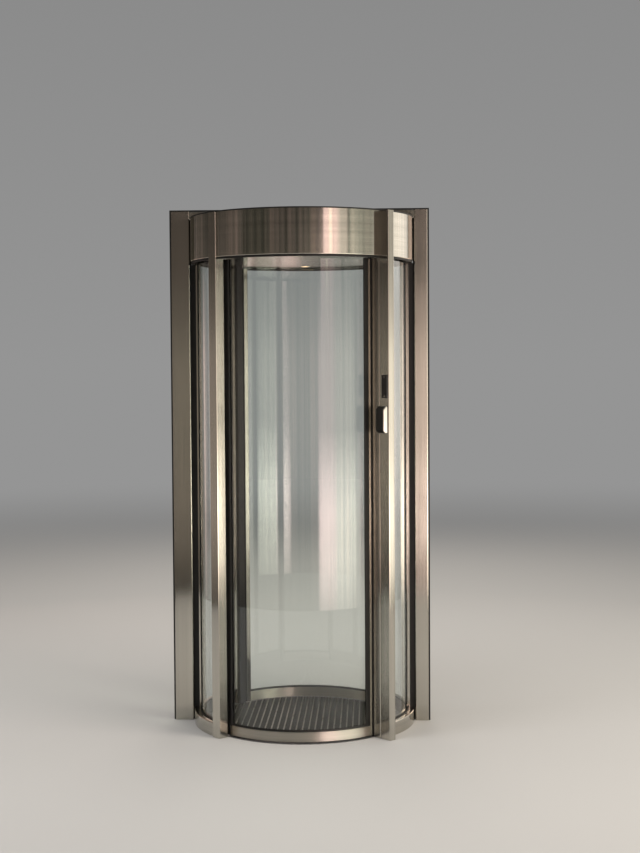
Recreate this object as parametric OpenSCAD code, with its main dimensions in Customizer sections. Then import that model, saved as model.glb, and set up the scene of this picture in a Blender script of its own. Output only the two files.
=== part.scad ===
// Round security portal with two curved sliding doors, set in a flat wall frame.
// Origin: axis of the cylinder at floor level. The front faces -Y and Z is up.
// Angles are measured from the front, positive to the right, about the cylinder's axis.
// The rear half is the front half turned by 180 degrees.

/* [Cylinder] */
// Outside diameter of the header and of the base rails
cylinder_d = 1014; // [980:2:1080]
// Height of the underside of the header
passage_h = 2106; // [2000:2:2250]
// Height of the curved header
header_h = 194; // [180:2:240]
// Angle from the front to the left side of the doorway
doorway_left = 43.7; // [42.5:0.1:44.5]
// Angle from the front to the right side of the doorway
doorway_right = 44.7; // [43.5:0.1:45.5]

/* [Wall frame] */
// Face width of the left stile
stile_left_w = 84; // [60:1:110]
// Face width of the right stile
stile_right_w = 61; // [50:1:110]
// Depth of the frame through the wall
frame_depth = 60; // [50:1:90]
// Face height of the head piece
frame_head_h = 38; // [30:1:70]
// Sheet thickness of the frame and of the posts
profile_wall = 2.5; // [2:0.1:3.5]
// Gap between the cylinder and each stile
stile_gap = 5; // [4:0.5:10]
// Width of the black joint round the frame
frame_joint_w = 7; // [5:1:14]
// Corner radius of the frame's and the posts' tubes
tube_corner_r = 4.5; // [1:0.5:5]

/* [Posts] */
// Tangential width of the deep posts, where the doors close
deep_post_w = 36; // [32:1:42]
// Radial depth of the outer bar of a deep post
deep_outer_d = 57; // [50:1:70]
// How far the outer bar of a deep post stands out from the header
deep_outer_proud = 49; // [40:1:54]
// Radial depth of the closing bar of a deep post
closing_bar_d = 70; // [66:1:71]
// Radial depth of the black inner part of a closing bar
closing_buffer_d = 23; // [18:1:26]
// Tangential width of the shallow posts
shallow_post_w = 48; // [40:1:54]
// How far a shallow post stands out from the header
shallow_proud = 9; // [6:1:16]
// Depth of the groove that holds the side glass in a post
post_groove_d = 10; // [6:1:14]
// How far a shallow post reaches inside the side glass
shallow_lip = 4; // [3:0.5:6]

/* [Side walls] */
// Width of the ledge outside the side glass
ledge_w = 29; // [26:1:32]
// Thickness of the curved side glass
side_glass_t = 8; // [6:1:10]
// Height of the fixed base rails
base_rail_h = 60; // [50:1:80]
// Width of the rail's lip inside the side glass
base_rail_lip = 8; // [7:0.5:10]
// Radius of the rails' and the header's outer edges
rail_edge_r = 3.5; // [1:0.5:5]
// Depth of the glazing groove in the base rails
base_groove_d = 16; // [10:1:24]
// Height of the glazing gaskets at the side glass
side_gasket_h = 4; // [3:0.5:8]
// Width of the glazing gaskets at the side glass
side_gasket_w = 4; // [3:0.5:4.5]
// Depth of the black seal between the side glass and a stile
side_seal_d = 24; // [16:1:40]
// Width of the steel strip that clamps the seal to the side glass
side_clamp_w = 8; // [4:0.5:12]

/* [Doors] */
// Radial gap between the base rails and the doors
door_gap = 10; // [8:0.5:12]
// Thickness of the bottom rail of a door
door_rail_t = 20; // [18:1:22]
// Height of the bottom rail of a door
door_rail_h = 44; // [36:1:70]
// Clearance under a door
door_floor_gap = 5; // [5:0.5:8]
// Thickness of the curved door glass
door_glass_t = 8; // [6:1:10]
// Depth of the glazing groove in the door rails
door_groove_d = 14; // [8:1:20]
// Height of the black gasket on the bottom rail
door_gasket_h = 8; // [4:1:12]
// Gap between a closed door and its closing bar
closing_gap = 1; // [0.5:0.1:2]
// Width of the rubber closing edge
closing_edge_w = 6; // [4:0.5:10]
// Width of the steel nose beside the rubber edge
closing_nose_w = 11; // [9:0.5:14]
// Width of the black band beside the steel nose
closing_band_w = 23; // [15:1:30]
// Width of the closing stile's cover inside the door
closing_stile_w = 27; // [24:1:45]
// Thickness of the closing stile's cover
closing_stile_t = 4; // [3:0.5:5]
// Width of the rubber strip on the trailing edge
trailing_strip_w = 30; // [24:1:36]
// How far the trailing strip stands out from the door
trailing_strip_proud = 2.5; // [1:0.5:4]
// How far a closed door reaches past the shallow post's face
trailing_overlap = 18; // [12:1:24]
// Height of the top rail, inside the header
top_rail_h = 38; // [30:1:50]
// Angle from each end of a door to the nearest carrier
carrier_inset = 14; // [10:1:20]
// Width of a carrier
carrier_w = 44; // [30:1:60]
// Thickness of a carrier
carrier_t = 6; // [4:0.5:7]
// Diameter of a carrier's axle
axle_d = 8; // [6:0.5:10]

/* [Header] */
// Sheet thickness of the header panels
header_sheet = 2.5; // [2:0.1:3]
// Height of the black seal under the header
header_seal_h = 9; // [5:1:14]
// Radial width of the black seal under the header
header_seal_w = 8; // [5:1:14]
// Height of the black trim on the header's top edge
roof_trim_h = 6; // [4:1:12]
// Width of the black trim on the header's top edge
roof_trim_w = 6; // [4:1:10]
// Height of the ceiling above the underside of the header
ceiling_rise = 4; // [2:0.5:7]
// Radial gap between the ceiling and the doors
ceiling_gap = 6; // [5:0.5:8]
// Diameter of a downlight
downlight_d = 46; // [36:1:70]
// Distance of a downlight from the axis
downlight_r = 330; // [200:5:360]
// Height and wall of a downlight's ring
downlight_lip = 3; // [2:0.5:4]
// Radial width of the door track
track_w = 8; // [7:0.5:9]
// Thickness of the door track
track_t = 4; // [3:0.5:6]
// Height of the door track above the underside of the header
track_rise = 86; // [70:1:100]
// Diameter of a carrier wheel
wheel_d = 24; // [18:1:30]

/* [Floor] */
// Thickness of the floor plate
floor_plate_t = 1.5; // [1:0.5:4]
// Thickness of the mat under its ribs
mat_t = 3; // [2:0.5:5]
// Height of the mat's ribs
mat_rib_h = 2; // [1:0.5:3]
// Distance between the mat's ribs
mat_pitch = 28; // [14:1:40]
// Width of a rib
mat_rib_w = 9; // [5:1:12]

/* [Access devices] */
// Height of the middle of the card reader
reader_z = 1542; // [1100:1:1650]
// Radial width of the card reader
reader_w = 33; // [24:1:40]
// Distance from the card reader to the post's outer face
reader_inset = 4; // [3:0.5:6]
// Height of the card reader
reader_h = 100; // [60:1:120]
// Thickness of the card reader
reader_t = 8; // [5:1:15]
// Corner radius of the card reader
reader_corner_r = 3; // [1:0.5:6]
// Height of the middle of the entry box
entry_box_z = 1398; // [900:1:1430]
// Radial width of the entry box with its cover
entry_box_w = 49; // [40:1:49]
// Height of the entry box
entry_box_h = 116; // [90:1:130]
// How far the entry box stands out from the post
entry_box_t = 30; // [26:1:36]
// Size of the slopes at the entry box's outer corners
entry_slope = 12; // [6:1:16]
// Thickness of the metal cover on the entry box
entry_cover_t = 6; // [4:0.5:9]
// Width of the metal cover
entry_cover_w = 22; // [16:1:24]
// Corner radius of the metal cover
entry_cover_r = 8; // [4:0.5:8]

/* [Hidden] */
$fn = 180;

steel = [0.66, 0.64, 0.58];
black = [0.07, 0.07, 0.07];
clear = [0.70, 0.80, 0.76, 0.35];
grey = [0.32, 0.33, 0.33];
lamp = [0.96, 0.90, 0.76];

// Clearance between a pane or wheel and the piece that holds it
fit = 0.3;
// Overshoot of a cutting body
cut = 1;

// Radii, from the outside inwards
header_r = cylinder_d / 2;
side_glass_r1 = header_r - ledge_w;
side_glass_r0 = side_glass_r1 - side_glass_t;
base_rail_r0 = side_glass_r0 - base_rail_lip;
door_r1 = base_rail_r0 - door_gap;
door_r0 = door_r1 - door_rail_t;
door_glass_r0 = (door_r0 + door_r1 - door_glass_t) / 2;
door_glass_r1 = door_glass_r0 + door_glass_t;
stile_r0 = door_r0 - closing_stile_t;
ceiling_r = door_r0 - ceiling_gap;
inner_wall_r1 = ceiling_r - header_sheet;

// Heights
total_h = passage_h + header_h;
roof_z = total_h - header_sheet;
ceiling_z = passage_h + ceiling_rise;
door_z = floor_plate_t + door_floor_gap;
door_rail_top = door_z + door_rail_h;
door_seal_top = passage_h - door_floor_gap - header_sheet;
top_rail_z = ceiling_z + header_sheet + door_floor_gap;
track_z = passage_h + track_rise;

// Posts
shallow_r0 = side_glass_r0 - shallow_lip;
shallow_r1 = header_r + shallow_proud;
deep_r1 = header_r + deep_outer_proud;
deep_joint_r = deep_r1 - deep_outer_d;
closing_bar_r0 = deep_joint_r - fit - closing_bar_d;
closing_steel_r0 = closing_bar_r0 + closing_buffer_d;
side_glass_mid = (side_glass_r0 + side_glass_r1) / 2;

function arc_angle(length, radius) = length / radius * 180 / PI;

// Ends of the side glass, inside the grooves of the posts
side_glass_a0 = doorway_right + asin(deep_post_w / side_glass_mid)
    - arc_angle(post_groove_d, side_glass_mid);
side_glass_a1 = 180 - doorway_left - asin(shallow_post_w / side_glass_mid)
    + arc_angle(post_groove_d, side_glass_mid);

// Ends of the other side pieces, before the posts trim them
side_a0 = doorway_right + 1;
side_a1 = 179 - doorway_left;

// Ends of a door, closed
door_a1 = doorway_right - arc_angle(closing_gap, door_r0);
edge_a0 = door_a1 - arc_angle(closing_edge_w, door_r0);
nose_a0 = edge_a0 - arc_angle(closing_nose_w, door_r1);
band_a0 = nose_a0 - arc_angle(closing_band_w, door_r1);
closing_stile_a0 = door_a1 - arc_angle(closing_stile_w, door_r0);
door_a0 = -doorway_left - arc_angle(trailing_overlap, door_r1);
strip_a1 = door_a0 + arc_angle(trailing_strip_w, door_r1);

// Places of the two carriers on a door's top rail
carrier_a = [door_a0 + carrier_inset, nose_a0 - carrier_inset];

stile_x0 = header_r + stile_gap;

// Turns a piece drawn along +X so that it points at an angle from the front
module at_angle(a) {
    rotate([0, 0, a - 90]) children();
}

// Revolves a profile drawn in the X-Z plane from one angle to another
module revolve(a0, a1) {
    rotate([0, 0, a0 - 90]) rotate_extrude(angle = a1 - a0) children();
}

// Part of a ring with a rectangular section
module ring(r0, r1, z0, z1, a0, a1) {
    revolve(a0, a1) translate([r0, z0]) square([r1 - r0, z1 - z0]);
}

// Closed ring with a rectangular section
module full_ring(r0, r1, z0, z1) {
    rotate_extrude() translate([r0, z0]) square([r1 - r0, z1 - z0]);
}

// Flat plate outline with rounded corners, centred
module rounded_outline(w, h, r) {
    square([w - 2 * r, h], center = true);
    square([w, h - 2 * r], center = true);
    for (x = [-1, 1], y = [-1, 1]) {
        translate([x * (w / 2 - r), y * (h / 2 - r)]) circle(r);
    }
}

// The same piece on both halves of the portal
module both_halves() {
    for (turn = [0, 180]) rotate([0, 0, turn]) children();
}

// Envelope of a shallow post, used to trim what meets it
module shallow_envelope(reach) {
    at_angle(-doorway_left) translate([shallow_r0 - reach, -shallow_post_w, -cut])
        cube([shallow_r1 - shallow_r0 + reach, shallow_post_w, total_h + 2 * cut]);
}

// Envelope of a deep post with its closing bar
module deep_envelope() {
    at_angle(doorway_right) translate([closing_bar_r0, 0, -cut])
        cube([deep_r1 - closing_bar_r0, deep_post_w, total_h + 2 * cut]);
}

module all_envelopes(reach = base_rail_lip + cut) {
    both_halves() {
        shallow_envelope(reach);
        deep_envelope();
    }
}

module head_envelope() {
    translate([-stile_x0, -frame_depth / 2, 0])
        cube([2 * stile_x0, frame_depth, total_h + frame_head_h]);
}

// Groove for the edge of a pane of side glass, with its running fit
module side_glass_groove() {
    ring(side_glass_r0 - fit, side_glass_r1 + fit, base_rail_h - base_groove_d, passage_h,
        side_glass_a0, side_glass_a1);
}

// Upright tube with a closed top, centred in plan
module tube(w, d, h) {
    difference() {
        linear_extrude(h) rounded_outline(w, d, tube_corner_r);
        translate([profile_wall - w / 2, profile_wall - d / 2, -cut])
            cube([w - 2 * profile_wall, d - 2 * profile_wall, h - profile_wall + cut]);
    }
}

// Wall frame
module frame_stile(width) {
    tube(width, frame_depth, total_h + frame_head_h);
}

module frame_stile_left() {
    color(steel) translate([-stile_x0 - stile_left_w / 2, 0, 0]) frame_stile(stile_left_w);
}

module frame_stile_right() {
    color(steel) translate([stile_x0 + stile_right_w / 2, 0, 0]) frame_stile(stile_right_w);
}

module frame_head() {
    color(steel) difference() {
        translate([-stile_x0, 0, total_h + frame_head_h / 2]) rotate([90, 0, 90])
            linear_extrude(2 * stile_x0)
            rounded_outline(frame_depth, frame_head_h, tube_corner_r);
        translate([-stile_x0 - cut, profile_wall - frame_depth / 2, total_h + profile_wall])
            cube([2 * (stile_x0 + cut), frame_depth - 2 * profile_wall,
                frame_head_h - 2 * profile_wall]);
    }
}

module frame_joint() {
    x0 = -stile_x0 - stile_left_w;
    x1 = stile_x0 + stile_right_w;
    top = total_h + frame_head_h;
    depth = frame_depth - 2 * frame_joint_w;
    color(black) difference() {
        translate([x0 - frame_joint_w, -depth / 2, 0])
            cube([x1 - x0 + 2 * frame_joint_w, depth, top + frame_joint_w]);
        translate([x0, -depth / 2 - cut, -cut]) cube([x1 - x0, depth + 2 * cut, top + cut]);
    }
}

// Black seals that close the wall between the cylinder and the stiles
module side_seals() {
    seal_x0 = side_glass_r1 + fit + side_clamp_w;
    color(black) both_halves() difference() {
        translate([seal_x0, -side_seal_d / 2, 0])
            cube([stile_x0 - seal_x0, side_seal_d, total_h]);
        translate([0, 0, -cut]) cylinder(r = header_r + fit, h = base_rail_h + cut);
        translate([0, 0, passage_h - header_seal_h]) cylinder(r = header_r + fit, h = total_h);
    }
}

// Steel strips between the side glass and the black seals
module side_glass_clamps() {
    color(steel) both_halves() difference() {
        translate([side_glass_r1 - cut, -side_seal_d / 2, base_rail_h])
            cube([cut + fit + side_clamp_w, side_seal_d, passage_h - base_rail_h]);
        cylinder(r = side_glass_r1 + fit, h = total_h);
    }
}

// Header
module header_profile() {
    top_flange_w = ledge_w - header_sheet;
    translate([header_r - header_sheet, passage_h + rail_edge_r])
        square([header_sheet, header_h - rail_edge_r]);
    translate([base_rail_r0, passage_h])
        square([header_r - base_rail_r0 - rail_edge_r, header_sheet]);
    translate([header_r - rail_edge_r, passage_h + rail_edge_r]) circle(rail_edge_r);
    translate([header_r - top_flange_w, roof_z - header_sheet])
        square([top_flange_w, header_sheet]);
}

module doorway_header_panel() {
    revolve(-doorway_left, doorway_right) header_profile();
}

module side_header_panel() {
    difference() {
        revolve(side_a0, side_a1) header_profile();
        all_envelopes();
    }
}

module front_header_panel() {
    color(steel) doorway_header_panel();
}

module rear_header_panel() {
    color(steel) rotate([0, 0, 180]) doorway_header_panel();
}

module right_header_panel() {
    color(steel) side_header_panel();
}

module left_header_panel() {
    color(steel) rotate([0, 0, 180]) side_header_panel();
}

module header_inner_wall() {
    color(grey) full_ring(inner_wall_r1 - header_sheet, inner_wall_r1,
        ceiling_z + header_sheet, roof_z);
}

module header_roof() {
    color(grey) difference() {
        translate([0, 0, roof_z]) cylinder(r = header_r - header_sheet - fit, h = header_sheet);
        all_envelopes(0);
    }
}

module roof_trim() {
    color(black) difference() {
        full_ring(header_r - roof_trim_w, header_r, total_h, total_h + roof_trim_h);
        head_envelope();
    }
}

module header_seal() {
    color(black) difference() {
        full_ring(header_r - rail_edge_r - header_seal_w, header_r - rail_edge_r,
            passage_h - header_seal_h, passage_h);
        all_envelopes();
    }
}

module ceiling_panel() {
    color(steel) translate([0, 0, ceiling_z]) cylinder(r = ceiling_r, h = header_sheet);
}

module at_downlights() {
    for (side = [-1, 1]) translate([0, side * downlight_r, ceiling_z]) children();
}

module downlight_rings() {
    color(steel) at_downlights() translate([0, 0, -downlight_lip]) difference() {
        cylinder(d = downlight_d, h = downlight_lip);
        translate([0, 0, -cut])
            cylinder(d = downlight_d - 2 * downlight_lip, h = downlight_lip + 2 * cut);
    }
}

module downlight_lenses() {
    lens_t = downlight_lip / 2;
    color(lamp) at_downlights() translate([0, 0, -lens_t])
        cylinder(d = downlight_d - 2 * downlight_lip - 2 * fit, h = lens_t);
}

// Ring on the inner wall that carries the wheels of both doors
module door_track() {
    color(steel) difference() {
        full_ring(inner_wall_r1, inner_wall_r1 + track_w, track_z, track_z + track_t);
        all_envelopes(0);
    }
}

// Posts
module shallow_post() {
    post_d = shallow_r1 - shallow_r0;
    hollow_w = shallow_post_w - post_groove_d - cut - 2 * profile_wall;
    at_angle(-doorway_left) difference() {
        translate([(shallow_r0 + shallow_r1) / 2, -shallow_post_w / 2, 0])
            linear_extrude(total_h) rounded_outline(post_d, shallow_post_w, tube_corner_r);
        translate([shallow_r0 + profile_wall, -hollow_w - profile_wall, -cut])
            cube([post_d - 2 * profile_wall, hollow_w, total_h - profile_wall + cut]);
    }
}

module front_shallow_post() {
    color(steel) difference() {
        shallow_post();
        rotate([0, 0, 180]) side_glass_groove();
    }
}

module rear_shallow_post() {
    color(steel) rotate([0, 0, 180]) difference() {
        shallow_post();
        rotate([0, 0, 180]) side_glass_groove();
    }
}

module deep_post() {
    at_angle(doorway_right) translate([deep_r1 - deep_outer_d / 2, deep_post_w / 2, 0])
        tube(deep_outer_d, deep_post_w, total_h);
}

module front_deep_post() {
    color(steel) deep_post();
}

module rear_deep_post() {
    color(steel) rotate([0, 0, 180]) deep_post();
}

module closing_bar() {
    bar_d = closing_bar_d - closing_buffer_d;
    hollow_w = deep_post_w - post_groove_d - cut - 2 * profile_wall;
    difference() {
        at_angle(doorway_right) difference() {
            translate([closing_steel_r0 + bar_d / 2, deep_post_w / 2, 0])
                linear_extrude(total_h) rounded_outline(bar_d, deep_post_w, tube_corner_r);
            translate([closing_steel_r0 + profile_wall, profile_wall, -cut])
                cube([bar_d - 2 * profile_wall, hollow_w, total_h - profile_wall + cut]);
        }
        side_glass_groove();
    }
}

module front_closing_bar() {
    color(steel) closing_bar();
}

module rear_closing_bar() {
    color(steel) rotate([0, 0, 180]) closing_bar();
}

// Black inner parts of the closing bars, which the doors close against
module closing_bar_buffers() {
    color(black) both_halves() at_angle(doorway_right)
        translate([closing_bar_r0 + closing_buffer_d / 2, deep_post_w / 2, 0])
        tube(closing_buffer_d, deep_post_w, total_h);
}

// Side walls
module side_glass() {
    ring(side_glass_r0, side_glass_r1, base_rail_h - base_groove_d, passage_h,
        side_glass_a0, side_glass_a1);
}

module right_side_glass() {
    color(clear) side_glass();
}

module left_side_glass() {
    color(clear) rotate([0, 0, 180]) side_glass();
}

module base_rail_outline() {
    translate([base_rail_r0, 0])
        square([header_r - base_rail_r0, base_rail_h - rail_edge_r]);
    translate([base_rail_r0, 0])
        square([header_r - base_rail_r0 - rail_edge_r, base_rail_h]);
    translate([header_r - rail_edge_r, base_rail_h - rail_edge_r]) circle(rail_edge_r);
}

module base_rail() {
    wall = header_sheet;
    hollow_r0 = side_glass_r1 + 2 * wall;
    difference() {
        revolve(side_a0, side_a1) difference() {
            base_rail_outline();
            translate([side_glass_r0 - fit, base_rail_h - base_groove_d])
                square([side_glass_t + 2 * fit, base_groove_d + cut]);
            translate([hollow_r0, -cut])
                square([header_r - wall - hollow_r0, base_rail_h - wall + cut]);
        }
        all_envelopes();
    }
}

module right_base_rail() {
    color(steel) base_rail();
}

module left_base_rail() {
    color(steel) rotate([0, 0, 180]) base_rail();
}

module side_glass_gaskets() {
    top_z = passage_h - side_gasket_h;
    color(black) both_halves() difference() {
        for (z = [base_rail_h, top_z]) {
            ring(side_glass_r0 - fit - side_gasket_w, side_glass_r0 - fit, z, z + side_gasket_h,
                side_a0, side_a1);
            ring(side_glass_r1 + fit, side_glass_r1 + fit + side_gasket_w, z, z + side_gasket_h,
                side_a0, side_a1);
        }
        all_envelopes();
        translate([side_glass_r1, -side_seal_d / 2 - fit, 0])
            cube([ledge_w, side_seal_d + 2 * fit, total_h]);
    }
}

// Floor
module floor_plate() {
    color(grey) difference() {
        cylinder(r = base_rail_r0 - fit, h = floor_plate_t);
        all_envelopes(0);
    }
}

module floor_mat() {
    mat_r = stile_r0 - door_floor_gap;
    rib_top = floor_plate_t + mat_t + mat_rib_h;
    ribs = floor(mat_r / mat_pitch);
    color(black) translate([0, 0, floor_plate_t]) {
        cylinder(r = mat_r, h = mat_t);
        intersection() {
            cylinder(r = mat_r, h = rib_top - floor_plate_t);
            for (i = [-ribs:ribs]) {
                translate([i * mat_pitch - mat_rib_w / 2, -mat_r, 0])
                    cube([mat_rib_w, 2 * mat_r, rib_top - floor_plate_t]);
            }
        }
    }
}

// Devices on the doorway side of the front deep post
module card_reader() {
    color(black) at_angle(doorway_right)
        translate([deep_r1 - reader_inset - reader_w / 2, 0, reader_z])
        rotate([90, 0, 0]) linear_extrude(reader_t)
        rounded_outline(reader_w, reader_h, reader_corner_r);
}

// Body of the entry box, with sloping outer corners
module entry_box() {
    body_w = entry_box_w - entry_cover_t - fit;
    half = entry_box_h / 2;
    color(black) at_angle(doorway_right)
        translate([deep_r1 - entry_box_w, 0, entry_box_z])
        rotate([90, 0, 90]) linear_extrude(body_w)
        polygon([[0, -half], [0, half], [entry_slope - entry_box_t, half],
            [-entry_box_t, half - entry_slope], [-entry_box_t, entry_slope - half],
            [entry_slope - entry_box_t, -half]]);
}

module entry_box_cover() {
    margin = (entry_box_t - entry_cover_w) / 2;
    color(steel) at_angle(doorway_right)
        translate([deep_r1 - fit - entry_cover_t, -margin - entry_cover_w / 2, entry_box_z])
        rotate([90, 0, 90]) linear_extrude(entry_cover_t)
        rounded_outline(entry_cover_w, entry_box_h, entry_cover_r);
}

// Doors, drawn closed in the front doorway
module door_rail_outline() {
    translate([door_r0, door_z]) square([door_rail_t - rail_edge_r, door_rail_h]);
    translate([door_r0, door_z + rail_edge_r])
        square([door_rail_t, door_rail_h - 2 * rail_edge_r]);
    for (z = [door_z + rail_edge_r, door_rail_top - rail_edge_r]) {
        translate([door_r1 - rail_edge_r, z]) circle(rail_edge_r);
    }
}

module door_rail() {
    revolve(-doorway_left, nose_a0) difference() {
        door_rail_outline();
        translate([door_glass_r0 - fit, door_rail_top - door_groove_d])
            square([door_glass_t + 2 * fit, door_groove_d + cut]);
    }
}

module door_glass() {
    ring(door_glass_r0, door_glass_r1, door_rail_top - door_groove_d,
        top_rail_z + door_groove_d, door_a0 + arc_angle(fit, door_r0), nose_a0);
}

// Hollow steel nose at the closing edge, with a cover that reaches inside the door
module door_closing_stile() {
    wall_a = arc_angle(profile_wall, door_r1);
    difference() {
        ring(stile_r0, door_r1, door_z, door_seal_top, closing_stile_a0, edge_a0);
        ring(door_r0, door_r1 + cut, door_z - cut, door_seal_top + cut,
            closing_stile_a0 - 1, nose_a0);
        ring(stile_r0 + profile_wall, door_r1 - profile_wall, door_z - cut, door_seal_top + cut,
            nose_a0 + wall_a, edge_a0 - wall_a);
    }
}

module door_seals() {
    outer_r0 = door_glass_r1 + fit;
    inner_r1 = door_glass_r0 - fit;
    gasket_r1 = door_r1 - rail_edge_r;
    strip_r1 = door_r1 + trailing_strip_proud;
    fit_a = arc_angle(fit, door_r0);
    // Rubber closing edge, full height
    ring(stile_r0, door_r1, door_z, door_seal_top, edge_a0 + fit_a, door_a1);
    // Black band on the glass beside the nose, and the filler behind it
    ring(outer_r0, door_r1, door_rail_top, door_seal_top, band_a0, nose_a0 - fit_a);
    ring(door_r0 + fit, inner_r1, door_rail_top, door_seal_top,
        closing_stile_a0, nose_a0 - fit_a);
    // Gaskets on the bottom rail
    ring(outer_r0, gasket_r1, door_rail_top, door_rail_top + door_gasket_h,
        strip_a1 + fit_a, band_a0 - fit_a);
    ring(door_r0 + header_sheet, inner_r1, door_rail_top, door_rail_top + door_gasket_h,
        strip_a1 + fit_a, closing_stile_a0 - fit_a);
    // Strip on the trailing edge, beside the rail and on the glass above it
    difference() {
        ring(door_r0, strip_r1, door_z, door_seal_top, door_a0, strip_a1);
        ring(door_r0 - cut, strip_r1 + cut, door_z - cut, door_rail_top,
            -doorway_left, strip_a1 + 1);
        ring(inner_r1, outer_r0, door_rail_top - door_groove_d, door_seal_top + cut,
            door_a0 - 1, strip_a1 + 1);
    }
}

// Top rail with its two carriers and their wheels
module door_hanger() {
    top = top_rail_z + top_rail_h;
    wheel_z = track_z + track_t + fit + wheel_d / 2;
    arm_r0 = inner_wall_r1 + track_w + door_floor_gap;
    wheel_r0 = inner_wall_r1 + fit * 4;
    revolve(door_a0, nose_a0) difference() {
        translate([door_r0, top_rail_z]) square([door_rail_t, top_rail_h]);
        translate([door_glass_r0 - fit, top_rail_z - cut])
            square([door_glass_t + 2 * fit, door_groove_d + cut]);
    }
    for (a = carrier_a) at_angle(a) {
        translate([arm_r0, -carrier_w / 2, top - cut])
            cube([carrier_t, carrier_w, wheel_z + wheel_d / 2 - top + cut]);
        translate([wheel_r0, 0, wheel_z]) rotate([0, 90, 0])
            cylinder(d = wheel_d, h = track_w - 4 * fit);
        translate([wheel_r0, 0, wheel_z]) rotate([0, 90, 0])
            cylinder(d = axle_d, h = arm_r0 - wheel_r0 + carrier_t / 2);
    }
}

module front_door_rail() {
    color(steel) door_rail();
}

module front_door_glass() {
    color(clear) door_glass();
}

module front_door_closing_stile() {
    color(steel) door_closing_stile();
}

module front_door_seals() {
    color(black) door_seals();
}

module front_door_hanger() {
    color(grey) door_hanger();
}

module rear_door_rail() {
    color(steel) rotate([0, 0, 180]) door_rail();
}

module rear_door_glass() {
    color(clear) rotate([0, 0, 180]) door_glass();
}

module rear_door_closing_stile() {
    color(steel) rotate([0, 0, 180]) door_closing_stile();
}

module rear_door_seals() {
    color(black) rotate([0, 0, 180]) door_seals();
}

module rear_door_hanger() {
    color(grey) rotate([0, 0, 180]) door_hanger();
}

frame_stile_left();
frame_stile_right();
frame_head();
frame_joint();
side_seals();
side_glass_clamps();
front_header_panel();
rear_header_panel();
left_header_panel();
right_header_panel();
header_inner_wall();
header_roof();
roof_trim();
header_seal();
ceiling_panel();
downlight_rings();
downlight_lenses();
door_track();
front_shallow_post();
rear_shallow_post();
front_deep_post();
rear_deep_post();
front_closing_bar();
rear_closing_bar();
closing_bar_buffers();
left_side_glass();
right_side_glass();
left_base_rail();
right_base_rail();
side_glass_gaskets();
floor_plate();
floor_mat();
card_reader();
entry_box();
entry_box_cover();
front_door_rail();
front_door_glass();
front_door_closing_stile();
front_door_seals();
front_door_hanger();
rear_door_rail();
rear_door_glass();
rear_door_closing_stile();
rear_door_seals();
rear_door_hanger();
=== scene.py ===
"""Studio scene of a round security portal: finishes for its CAD nodes, detailed pieces, a stage."""

import math

import bmesh
import bpy
from bpy.props import FloatProperty, IntProperty, PointerProperty, StringProperty
from mathutils import Matrix, Vector


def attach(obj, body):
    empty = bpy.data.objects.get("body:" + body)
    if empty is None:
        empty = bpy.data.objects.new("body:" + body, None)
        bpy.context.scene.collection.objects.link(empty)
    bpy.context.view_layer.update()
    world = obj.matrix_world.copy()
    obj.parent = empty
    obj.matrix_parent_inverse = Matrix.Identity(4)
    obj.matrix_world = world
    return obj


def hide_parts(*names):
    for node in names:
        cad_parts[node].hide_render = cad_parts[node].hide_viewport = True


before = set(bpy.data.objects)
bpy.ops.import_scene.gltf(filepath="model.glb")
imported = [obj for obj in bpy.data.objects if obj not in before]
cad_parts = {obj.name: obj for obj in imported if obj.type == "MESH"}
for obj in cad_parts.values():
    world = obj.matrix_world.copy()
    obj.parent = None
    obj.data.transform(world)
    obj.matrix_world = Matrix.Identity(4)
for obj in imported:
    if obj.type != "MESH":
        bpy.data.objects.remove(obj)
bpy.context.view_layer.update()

bl_info = {
    "name": "Round Security Portal",
    "version": (1, 0, 0),
    "blender": (4, 5, 0),
    "location": "3D Viewport > Sidebar > Portal",
    "description": "Finishes, detailed pieces and a studio for a round security portal",
    "category": "Object",
}

MM = 0.001
PORTAL = "portal_frame"

# Angles of the doorway, from the front towards +X, and the main radii and heights, as in the CAD.
# The panes' radii leave the gap of 0.3 mm in which they are seated.
DOORWAY_LEFT = math.radians(-43.7)
DOORWAY_RIGHT = math.radians(44.7)
RAIL_INSIDE = 432 * MM
RAIL_OUTSIDE = 452 * MM
PANE_INSIDE = 437.7 * MM
PANE_OUTSIDE = 446.3 * MM
NOSE_INSIDE = 428 * MM
POST_OUTSIDE = 556 * MM
HEADER_LOW = 2106 * MM
CEILING = 2110 * MM
READER_MIDDLE = 1542 * MM
ENTRY_BOX_MIDDLE = 1398 * MM

# What each finish goes on. A CAD node that a detailed piece replaces isn't listed.
AROUND_STEEL = [
    "front_header_panel", "rear_header_panel", "left_header_panel", "right_header_panel",
    "left_base_rail", "right_base_rail",
]
COARSE_STEEL = ["front_door_rail", "rear_door_rail"]
UPRIGHT_STEEL = [
    "frame_stile_left", "frame_stile_right", "front_shallow_post", "rear_shallow_post",
    "front_deep_post", "rear_deep_post", "front_closing_bar", "rear_closing_bar",
    "front_door_closing_stile", "rear_door_closing_stile", "side_glass_clamps",
]
LENGTHWISE_STEEL = ["frame_head"]
CEILING_STEEL = ["ceiling_panel"]
ZINC = [
    "header_inner_wall", "header_roof", "floor_plate", "front_door_hanger", "rear_door_hanger",
    "door_track",
]
RUBBER = [
    "frame_joint", "side_seals", "roof_trim", "side_glass_gaskets", "closing_bar_buffers",
]
GLASS = ["left_side_glass", "right_side_glass", "front_door_glass", "rear_door_glass"]


# Colours and node trees


def linear(colour):
    """An sRGB hex colour as linear RGBA."""
    parts = [int(colour[i:i + 2], 16) / 255 for i in (1, 3, 5)]
    return [p / 12.92 if p <= 0.04045 else ((p + 0.055) / 1.055) ** 2.4 for p in parts] + [1.0]


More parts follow.
